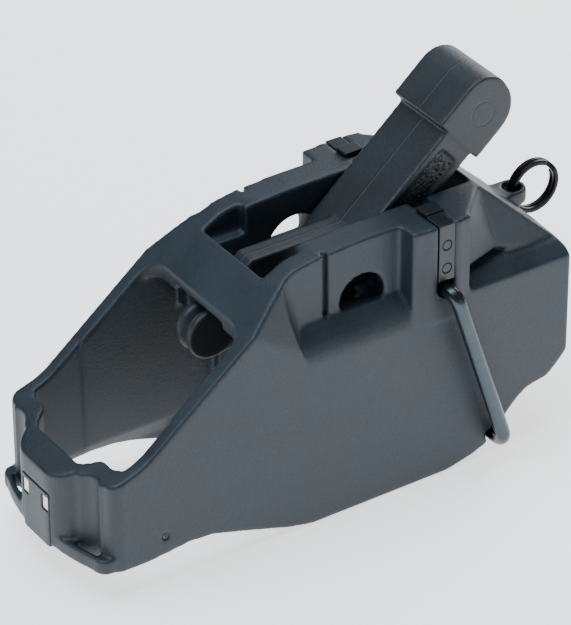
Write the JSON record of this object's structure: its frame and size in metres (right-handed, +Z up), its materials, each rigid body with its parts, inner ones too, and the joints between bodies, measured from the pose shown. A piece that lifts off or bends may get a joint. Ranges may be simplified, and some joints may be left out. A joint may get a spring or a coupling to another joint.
{
  "type": "magazine loader",
  "caption": "Hand-held lever loader and unloader for a box magazine, with an open mouth, a thumb lever on a sprung hinge, a swinging wire bail and a key ring.",
  "frame": {"origin": "centre of the overall box in X and Y, at the flat under the body that it stands on", "axes": "X runs the length of the body, with the open mouth at -X and the closed rear box at +X; Y runs across, along the lever's hinge; +Z is up, towards the raised end of the lever"},
  "size_m": [0.1272, 0.051, 0.0824],
  "materials": {
    "housing_nylon": "fine-grained moulded slate nylon",
    "insert_nylon": "fine-grained moulded slate nylon",
    "catch_steel": "bright sheared steel",
    "pin_steel": "dark oiled spring steel",
    "keeper_nylon": "smooth moulded slate nylon",
    "keeper_pin_nylon": "smooth moulded slate nylon",
    "lever_nylon": "fine-grained moulded dark slate nylon",
    "hinge_steel": "plain ground steel",
    "spring_steel": "bright drawn music wire",
    "bail_wire": "dark grey polished steel wire",
    "ring_steel": "black oxide split ring"
  },
  "bodies": {
    "body": {"housing": "housing_nylon", "catch_insert": "insert_nylon", "front_catch": "catch_steel", "flank_pins": "pin_steel", "keeper_left": "keeper_nylon", "keeper_right": "keeper_nylon", "keeper_pins": "keeper_pin_nylon", "hinge_pin": "hinge_steel", "return_spring": "spring_steel"},
    "lever": {"lever": "lever_nylon"},
    "bail": {"bail": "bail_wire"},
    "ring": {"key_ring": "ring_steel"}
  },
  "joints": [
    {"name": "lever_hinge", "type": "hinge", "parent": "body", "child": "lever", "pos_m": [0.0005, 0, 0.0415], "axis": [0, -1, 0], "range_deg": [0, 55], "stiffness_Nm_per_rad": 0.02, "springref_deg": -34.38, "deforming": ["return_spring"]},
    {"name": "bail_hinge", "type": "hinge", "parent": "body", "child": "bail", "pos_m": [0.0212, 0, 0.0453], "axis": [0, -1, 0], "range_deg": [0, 50]},
    {"name": "ring_swing", "type": "hinge", "parent": "body", "child": "ring", "pos_m": [0.05205, 0, 0.047], "axis": [0, 1, 0], "range_deg": [-15, 0]}
  ]
}
